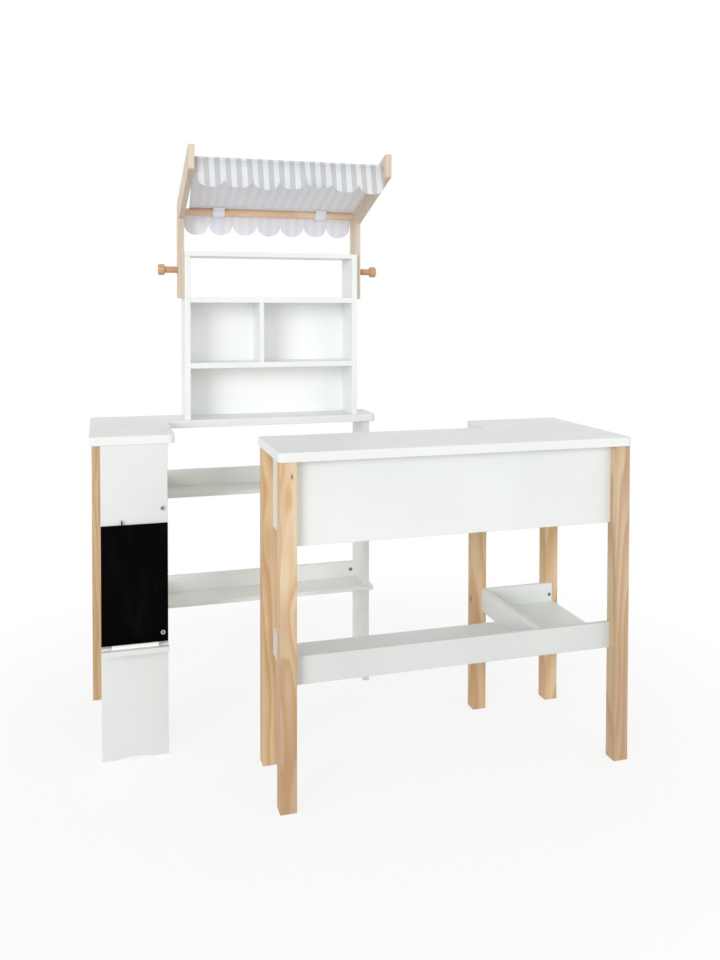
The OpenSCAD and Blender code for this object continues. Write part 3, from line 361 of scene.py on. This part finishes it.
# Legs: place along the grain, heart line, ring spacing, tones, strength of the darker foot (partly the
# wood's own tone, partly painted shade) and knots.
# A knot is its middle, its size and its strength.
legs = {
    "stand_left_leg": (0.4, (0.50, -0.30, 0), RING, PINE, 0.15, ()),
    "front_left_leg": (0, (0.158, 0.205, 0), CLOSE_RING, FRONT_PINE, 0.6, (
        ((-0.1498, -0.2695, 0.5320), (0.0013, 0.004, 0.0036), 0.9),)),
    "back_left_leg": (1.7, (0.215, 0.015, 0), RING, LEFT_PINE, 0.12, ()),
    "front_right_leg": (3.1, (-0.515, 0.225, 0), RING, RIGHT_PINE, 0.15, ()),
    "arm_left_leg": (5.3, (-0.225, 0.020, 0), RING, PINE, 0.1, (
        ((0.2675, 0.001, 0.217), (0.003, 0.003, 0.0045), 0.85),)),
    "arm_right_leg": (7.9, (-0.490, -0.040, 0), RING, PINE, 0.1, ()),
}
for name, (along, heart, spacing, tones, foot_tone_and_shade, knots) in legs.items():
    dress(name, wood(
        name + "_pine", "Z", (0, 0, along), heart, spacing, tones, contrast=0.8, knots=knots, foot_tone_and_shade=foot_tone_and_shade))
post_hearts = {"left_awning_post": (0.30, -0.16, 0), "right_awning_post": (-0.06, -0.15, 0)}
for name, heart in post_hearts.items():
    dress(name, wood(name + "_pine", "Z", (0, 0, 0), heart, POST_RING, PALE, contrast=0.6))

# Turned pieces: place along the grain and tones. The heart lies just outside each piece.
turned = {
    "left_hanging_peg": (0.0, PEG),
    "right_hanging_peg": (2.3, PEG),
    "front_awning_rod": (4.1, TURNED),
    "rear_awning_rod": (6.7, TURNED),
}
HEART_OFF_Y, HEART_OFF_Z = 0.006, 0.012
for name, (along, tones) in turned.items():
    low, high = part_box(name)
    middle = (low + high) / 2
    heart = (0, HEART_OFF_Y - middle.y, HEART_OFF_Z - middle.z)
    dress(name, wood(
        name + "_wood", "X", (along, 0, 0), heart, TURNED_RING, tones, contrast=0.6, warp=0.008))
dowel = wood("dowel_beech", "Z", (0, 0, 0), (0.1, 0.1, 0), DOWEL_RING, PLAIN, contrast=0.4, warp=0.004)
for name in ("stand_dowels", "cabinet_dowels", "counter_dowels"):
    dress(name, dowel)

# Bolt sockets, darkened with painted shade, lie on the rails' middles, at this share of their height.
BOLT_SHARE = 0.59
shaded_sockets = []
for level in ("upper", "lower"):
    for rail, mask in (("_arm_rail", (1, 0, 1)), ("_shelf_rail", (0, 1, 1))):
        low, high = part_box(level + rail)
        middle = (low + high) / 2
        middle.z = low.z + BOLT_SHARE * (high.z - low.z)
        shaded_sockets.append((mask, tuple(middle)))
dress("stand_bolts", plated_steel("bolt_zinc", ("B9BCBE", "A7AAAD"), 0.32, shaded_sockets))
dress("tray_screw", plated_steel("screw_zinc", ("77797C", "626467"), 0.42))
dress("stand_barrel_nuts", plated_steel("nut_zinc", ("8F9193", "7C7E80"), 0.42))
dress("chalkboard", writing_board())
dress("chalk_stick", chalk())
dress("board_hook", black_metal())

# Eased edges on the boards, legs and posts, narrow enough to stay clear of the holes in them.
MERGE_REACH = 0.00002
EASE_STEPS = 3
SHARP_ANGLE = math.radians(40)
eased = {
    0.0011: ("left_awning_post", "right_awning_post"),
    0.0008: (
        "stand_worktop", "front_left_leg", "back_left_leg", "front_right_leg", "arm_left_leg",
        "arm_right_leg", "chalkboard_panel", "stand_right_leg", "front_apron", "left_apron", "right_apron",
        "cabinet_left_side", "cabinet_right_side", "cabinet_upper_shelf", "cabinet_lower_shelf",
        "cabinet_divider",
    ),
    0.0006: (
        "counter_worktop", "stand_left_leg", "upper_shelf_board", "lower_shelf_board", "upper_arm_board",
        "lower_arm_board", "tray_front_rail", "tray_left_rail", "arm_inner_rail", "tray_floor", "arm_floor",
        "cabinet_top",
    ),
    0.0003: (
        "chalkboard", "chalk_ledge", "upper_shelf_rail", "lower_shelf_rail", "upper_arm_rail",
        "lower_arm_rail", "arm_back_rail",
    ),
}
for width, names in eased.items():
    for name in names:
        piece = nodes[name]
        weld = piece.modifiers.new("weld", "WELD")
        weld.merge_threshold = MERGE_REACH
        edge = piece.modifiers.new("edge", "BEVEL")
        edge.width = width
        edge.segments = EASE_STEPS
        edge.limit_method = "ANGLE"
        edge.angle_limit = SHARP_ANGLE
        edge.use_clamp_overlap = False
        edge.loop_slide = False
        shade = piece.modifiers.new("shade", "WEIGHTED_NORMAL")
        shade.mode = "FACE_AREA"
        shade.weight = 100
        shade.keep_sharp = True

# The cloth: one sheet over both rods, scalloped at both ends. Lengths in metres from the stand's corner.
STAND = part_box("stand_worktop")[0] * Vector((1, 1, 0))
CLOTH_X, CLOTH_W, CLOTH_T = 0.184, 0.352, 0.0009
ROD_R, CLOTH_SLACK = 0.007, 0.0004
WRAP_R = ROD_R + CLOTH_SLACK + CLOTH_T / 2
LEAN = math.radians(18)
ROOF_TURN = math.pi / 2 - LEAN
REAR_Y, REAR_Z = 0.239, 0.988
FRONT_Y = 0.031
FRONT_Z = REAR_Z + (REAR_Y - FRONT_Y) * math.tan(LEAN)
FRONT_DROP, REAR_DROP = 0.046, 0.045
FRONT_SCALLOP, REAR_SCALLOP = 0.016, 0.020
LOBES, STEPS = 7, 22
FRONT_CURLS = (0.0030, 0.0030, 0.0010, 0.0045, 0.0090, 0.0020, 0.0000)
REAR_EXTRA_DROPS = (0.0000, -0.0006, -0.0010, 0.0000, -0.0004, -0.0012, 0.0000)

# The fold at the front rod is tighter than the rod's own turn, and lies where roof and valance meet.
SEAM_R = 0.0020
SEAM_AT = (WRAP_R - SEAM_R) / math.cos((math.pi - ROOF_TURN) / 2)
SEAM_Y = FRONT_Y + SEAM_AT * math.cos((math.pi + ROOF_TURN) / 2)
SEAM_Z = FRONT_Z + SEAM_AT * math.sin((math.pi + ROOF_TURN) / 2)

# How the cloth hangs: sag, waves and ripples, and how far its corners draw in.
SAG, SAG_EVEN, SAG_SWING = 0.004, 0.85, 0.15
REAR_WAVE, REAR_RIPPLE = 0.0016, 0.001
FRONT_WAVE, FRONT_RIPPLE = 0.0018, 0.0012
REAR_LEFT_PULL, REAR_RIGHT_PULL = 0.0105, 0.004
PULLED_ROOF = 0.85
FRONT_LEFT_SLIDE, FRONT_RIGHT_SLIDE = 0.0028, 0.0052

# Rows of points along the cloth, from the rear hem to the front hem.
REAR_ROWS, REAR_TURN_ROWS, ROOF_ROWS, FRONT_TURN_ROWS, FRONT_ROWS = 16, 7, 37, 9, 16
ROOF_START = REAR_ROWS + REAR_TURN_ROWS
FRONT_START = ROOF_START + ROOF_ROWS + FRONT_TURN_ROWS
OUTSIDE, INSIDE = 0, 1


def bow(s):
    return 4 * s * (1 - s)


def ease(s):
    return s * s * (3 - 2 * s)


def lobe(s):
    """Share of a scallop's depth across its width, a round lobe with a narrow notch."""
    return max(0.0, 1 - abs(2 * s - 1) ** 2.3) ** 0.62


def cloth_line(u):
    """Middle line of the cloth at share u of its width: points (x, y, z) and outward directions."""
    spot = min(u * LOBES, LOBES - 1e-9)
    k, s = int(spot), spot - int(spot)
    wave = math.cos(math.pi * u * LOBES)
    front = FRONT_DROP + SEAM_Z - FRONT_Z - FRONT_SCALLOP * (1 - lobe(s))
    curl = FRONT_CURLS[k] * lobe(s)
    rear = REAR_DROP + REAR_EXTRA_DROPS[k] - REAR_SCALLOP * (1 - lobe(s))
    ripple = 0.0006 * math.sin(9.1 * u + 0.7) + 0.00045 * math.sin(23.0 * u + 2.1)
    sag = SAG * (SAG_EVEN + SAG_SWING * math.cos(math.tau * u)) - ripple
    rear_sway = REAR_WAVE * wave + REAR_RIPPLE * math.sin(5.3 * u + k)
    front_sway = FRONT_WAVE * wave + FRONT_RIPPLE * math.sin(4.1 * u + 1.3 * k)
    x = CLOTH_X + CLOTH_W * u
    pull = REAR_LEFT_PULL * (1 - u) ** 6
    points, out = [], []
    for i in range(REAR_ROWS):
        share = 1 - i / REAR_ROWS
        points.append((
            x - REAR_RIGHT_PULL * u * share + pull * (1 - share) ** 8,
            REAR_Y + WRAP_R + ease(share) * rear_sway,
            REAR_Z - rear * share))
        out.append((0, 1, 0))
    for i in range(REAR_TURN_ROWS):
        a = ROOF_TURN * i / REAR_TURN_ROWS
        points.append((x + pull, REAR_Y + WRAP_R * math.cos(a), REAR_Z + WRAP_R * math.sin(a)))
        out.append((0, math.cos(a), math.sin(a)))
    normal = (0, math.cos(ROOF_TURN), math.sin(ROOF_TURN))
    for i in range(ROOF_ROWS):
        share = i / ROOF_ROWS
        off = WRAP_R + (SEAM_R - WRAP_R) * share - bow(share) * sag
        points.append((
            x + pull * max(0.0, 1 - share / PULLED_ROOF) ** 1.2,
            REAR_Y + (SEAM_Y - REAR_Y) * share + off * normal[1],
            REAR_Z + (SEAM_Z - REAR_Z) * share + off * normal[2]))
        out.append(normal)
    for i in range(FRONT_TURN_ROWS):
        a = ROOF_TURN + (math.pi - ROOF_TURN) * i / FRONT_TURN_ROWS
        points.append((x, SEAM_Y + SEAM_R * math.cos(a), SEAM_Z + SEAM_R * math.sin(a)))
        out.append((0, math.cos(a), math.sin(a)))
    for i in range(FRONT_ROWS + 1):
        share = i / FRONT_ROWS
        points.append((
            x + share * (FRONT_LEFT_SLIDE * (1 - u) + FRONT_RIGHT_SLIDE * u),
            FRONT_Y - WRAP_R - ease(share) * front_sway + curl * share ** 3,
            SEAM_Z - front * share + curl * share ** 4))
        out.append((0, -1, 0))
    return np.array(points), np.array(out)


def make_cloth():
    """The sheet, the area of its inside and its length along the cloth."""
    columns = LOBES * STEPS
    mid, out = zip(*(cloth_line(i / columns) for i in range(columns + 1)))
    mid = np.array(mid) + np.array(STAND)
    rows = mid.shape[1]
    gaps = np.linalg.norm(np.diff(mid, axis=1), axis=2)
    run = np.concatenate([np.zeros((columns + 1, 1)), np.cumsum(gaps, axis=1)], axis=1)
    run -= run[:, rows // 2:rows // 2 + 1]
    normal = np.cross(np.gradient(mid, axis=1), np.gradient(mid, axis=0))
    normal /= np.linalg.norm(normal, axis=2, keepdims=True)
    flip = np.sign((normal * np.array(out)).sum(axis=2, keepdims=True))
    normal *= np.where(flip == 0, 1, flip)
    count = (columns + 1) * rows
    outer = (mid + normal * CLOTH_T / 2).reshape(-1, 3)
    inner = (mid - normal * CLOTH_T / 2).reshape(-1, 3)
    faces, kinds = [], []
    for i in range(columns):
        for j in range(rows - 1):
            a, d = i * rows + j, (i + 1) * rows + j
            b, c = a + 1, d + 1
            faces.append((a, b, c, d))
            kinds.append(OUTSIDE)
            faces.append((count + d, count + c, count + b, count + a))
            kinds.append(INSIDE)
    rim = [i * rows for i in range(columns + 1)]
    rim += [columns * rows + j for j in range(1, rows)]
    rim += [i * rows + rows - 1 for i in range(columns - 1, -1, -1)]
    rim += list(range(rows - 2, 0, -1))
    for a, b in zip(rim, rim[1:] + rim[:1]):
        faces.append((a, count + a, count + b, b))
        kinds.append(OUTSIDE)
    mesh = bpy.data.meshes.new("awning_sheet")
    mesh.from_pydata([tuple(v) for v in np.concatenate([outer, inner])], [], faces)
    layer = mesh.uv_layers.new(name="flat")
    flat_u = np.repeat(np.arange(columns + 1) / columns * CLOTH_W, rows)
    flat = np.stack([np.concatenate([flat_u, flat_u]), np.tile(run.reshape(-1), 2)], axis=1)
    for loop in mesh.loops:
        layer.data[loop.index].uv = flat[loop.vertex_index]
    hem, ridge = float(run[:, ROOF_START].mean()), float(run[:, FRONT_START].mean())
    outside = [(ridge + 0.0036, 0.0004, "A9ABAE", 0.5)]
    # On the inside: a lighter band where the hem doubles the cloth, and a thin dark line at the hem's
    # stitched edge that is partly painted shadow.
    inside = [(hem + 0.0065, 0.0075, "FBFBFF", 0.75), (hem + 0.0145, 0.0006, "9C9BB0", 0.6)]
    mesh.materials.append(striped_cloth("stripes_outside", "EBEEFD", "C5C8C7", 1.0, "C4C7D7", outside))
    # The inside: the same cloth, its tones lighter and bluer as painted light for light coming through the
    # cloth; the fainter stripe is the cloth's own.
    mesh.materials.append(striped_cloth("stripes_inside_painted_light", "F4F6FF", "DDE1FF", 0.45, "E0E4FF", inside))
    for polygon, kind in zip(mesh.polygons, kinds):
        polygon.material_index = kind
        polygon.use_smooth = True
    mesh.validate()
    piece = bpy.data.objects.new("awning_sheet", mesh)
    bpy.context.scene.collection.objects.link(piece)
    area = sum(p.area for p in mesh.polygons if p.material_index == INSIDE)
    return piece, area, float(run.max() - run.min())


cloth, cloth_area, cloth_length = make_cloth()
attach(cloth, "stand")
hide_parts("awning_cloth")

# The two tapes that hold the cloth to the rear rod, round its front and underside.
STRAP_W, STRAP_T, STRAP_CORNER, STRAP_IN = 0.024, 0.0013, 0.0004, 0.071
STRAP_R = ROD_R + 0.00015 + STRAP_T / 2
STRAP_FROM, STRAP_TURN, STRAP_STEPS = 152, 118, 12
ROOF_SEAM = ((-0.0118, 0.0098), (-0.0106, 0.0076))
VALANCE_SEAM = ((0.0036, -0.0085), (0.0058, -0.0102))
CABINET_X = (0.182, 0.538)


def strap_line():
    """Middle line of a tape: roof seam, round the rod, rear valance seam."""
    points = list(ROOF_SEAM)
    for i in range(STRAP_STEPS + 1):
        a = math.radians(STRAP_FROM + STRAP_TURN * i / STRAP_STEPS)
        points.append((STRAP_R * math.cos(a), STRAP_R * math.sin(a)))
    points += VALANCE_SEAM
    return np.array(points) + (REAR_Y, REAR_Z)


def strap_section():
    """Outline of a tape across its width, with its corners cut."""
    half_w, half_t = STRAP_W / 2, STRAP_T / 2
    ring = []
    for sx, st in ((-1, -1), (1, -1), (1, 1), (-1, 1)):
        first = (sx * (half_w - STRAP_CORNER), st * half_t)
        second = (sx * half_w, st * (half_t - STRAP_CORNER))
        ring += [second, first] if sx * st > 0 else [first, second]
    return ring


def make_straps():
    line, ring = strap_line(), strap_section()
    along = np.gradient(line, axis=0)
    normal = np.stack([-along[:, 1], along[:, 0]], axis=1)
    normal /= np.linalg.norm(normal, axis=1, keepdims=True)
    size = len(ring)
    verts, faces = [], []
    for middle in (CABINET_X[0] + STRAP_IN, CABINET_X[1] - STRAP_IN):
        start = len(verts)
        for (y, z), (ny, nz) in zip(line, normal):
            for dx, dt in ring:
                verts.append((STAND.x + middle + dx, STAND.y + y + ny * dt, STAND.z + z + nz * dt))
        for i in range(len(line) - 1):
            a, b = start + i * size, start + (i + 1) * size
            for j in range(size):
                k = (j + 1) % size
                faces.append((a + j, b + j, b + k, a + k))
        faces.append(tuple(start + j for j in range(size)))
        faces.append(tuple(start + (len(line) - 1) * size + j for j in reversed(range(size))))
    mesh = bpy.data.meshes.new("strap_tapes")
    mesh.from_pydata(verts, [], faces)
    mesh.validate()
    mesh.materials.append(tape())
    for polygon in mesh.polygons:
        polygon.use_smooth = len(polygon.vertices) == 4
    piece = bpy.data.objects.new("strap_tapes", mesh)
    bpy.context.scene.collection.objects.link(piece)
    return piece


straps = make_straps()
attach(straps, "stand")
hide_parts("cloth_straps")

# The studio. Rays that see the background find it white; the rest find the tones that light the part.
WHITE = (1, 1, 1, 1)
WORLD_TONE = (0.705, 0.700, 0.684, 1)
FLOOR_TONE, FLOOR_SEEN = (0.72, 0.712, 0.70, 1), (0.99, 0.995, 1, 1)
FLOOR_REACH = 14.0
SHADOW_NEAR, SHADOW_FAR = 0.5, 1.1
SHADOW_WHITE = 0.78


def make_floor():
    """A pale floor that keeps a soft shadow round the part and is white farther out."""
    mesh = bpy.data.meshes.new("floor")
    corners = [(x * FLOOR_REACH, y * FLOOR_REACH, 0) for x, y in ((-1, -1), (1, -1), (1, 1), (-1, 1))]
    mesh.from_pydata(corners, [], [(0, 1, 2, 3)])
    floor = bpy.data.objects.new("floor", mesh)
    bpy.context.scene.collection.objects.link(floor)
    p = Paint("pale_floor")
    white = p.node("ShaderNodeEmission", {"Color": WHITE, "Strength": 1.0})
    seen = p.backdrop_rays()
    clear = p.remap(p.length(p.place()), SHADOW_NEAR, SHADOW_FAR, to=(SHADOW_WHITE, 1.0))
    share = p.math("MULTIPLY", seen, clear)
    lit = p.node("ShaderNodeBsdfDiffuse", {"Color": p.mix(seen, FLOOR_TONE, FLOOR_SEEN)})
    mesh.materials.append(p.close(
        p.node("ShaderNodeMixShader", {0: share, 1: lit.outputs[0], 2: white.outputs[0]})))


def make_world():
    p = Paint("studio", world=True)
    tint = p.mix(p.backdrop_rays(), WORLD_TONE, WHITE)
    bpy.context.scene.world = p.close(p.node("ShaderNodeBackground", {"Color": tint}))


def make_lamp(name, place, aim, side, power, tint):
    data = bpy.data.lights.new(name, "AREA")
    data.shape = "SQUARE"
    data.size = side
    data.energy = power
    data.color = tint
    lamp = bpy.data.objects.new(name, data)
    lamp.location = place
    lamp.rotation_euler = (Vector(aim) - Vector(place)).to_track_quat("-Z", "Y").to_euler()
    bpy.context.scene.collection.objects.link(lamp)


# The photograph's camera: frame, focal length and principal point in pixels, turns in radians,
# and its place from the foot of the front left leg.
FRAME_W, FRAME_H = 720, 960
FOCAL, CENTRE_X, CENTRE_Y = 899.13, 370.74, 329.62
YAW, PITCH, ROLL = 0.2917, 0.0266, 0.0021
CAMERA_FROM_LEG = Vector((-0.26455, -1.3680, 0.7986))
SENSOR_MM, CLIP_END = 36, 100


def make_camera():
    level = math.cos(PITCH)
    forward = Vector((math.sin(YAW) * level, math.cos(YAW) * level, -math.sin(PITCH)))
    right = Vector((math.cos(YAW), -math.sin(YAW), 0))
    up = right.cross(forward)
    right, up = (
        math.cos(ROLL) * right + math.sin(ROLL) * up, -math.sin(ROLL) * right + math.cos(ROLL) * up)
    data = bpy.data.cameras.new("camera")
    data.sensor_width = SENSOR_MM
    data.lens = FOCAL / FRAME_H * SENSOR_MM
    data.shift_x = (FRAME_W / 2 - CENTRE_X) / FRAME_H
    data.shift_y = (CENTRE_Y - FRAME_H / 2) / FRAME_H
    data.clip_end = CLIP_END
    camera = bpy.data.objects.new("camera", data)
    turn = Matrix((right, up, -forward)).transposed().to_4x4()
    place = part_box("front_left_leg")[0] + CAMERA_FROM_LEG
    camera.matrix_world = Matrix.Translation(place) @ turn
    bpy.context.scene.collection.objects.link(camera)
    bpy.context.scene.camera = camera


AIM = (0.0, 0.0, 0.6)
make_floor()
make_world()
make_camera()
make_lamp("key", (-5.2, -6.0, 2.2), AIM, side=3.4, power=262, tint=(0.97, 0.99, 1.0))
make_lamp("fill", (4.8, -6.4, 2.6), AIM, side=4.0, power=90, tint=(0.98, 0.993, 1.0))
bpy.context.scene.view_settings.view_transform = "Standard"

bpy.context.view_layer.update()
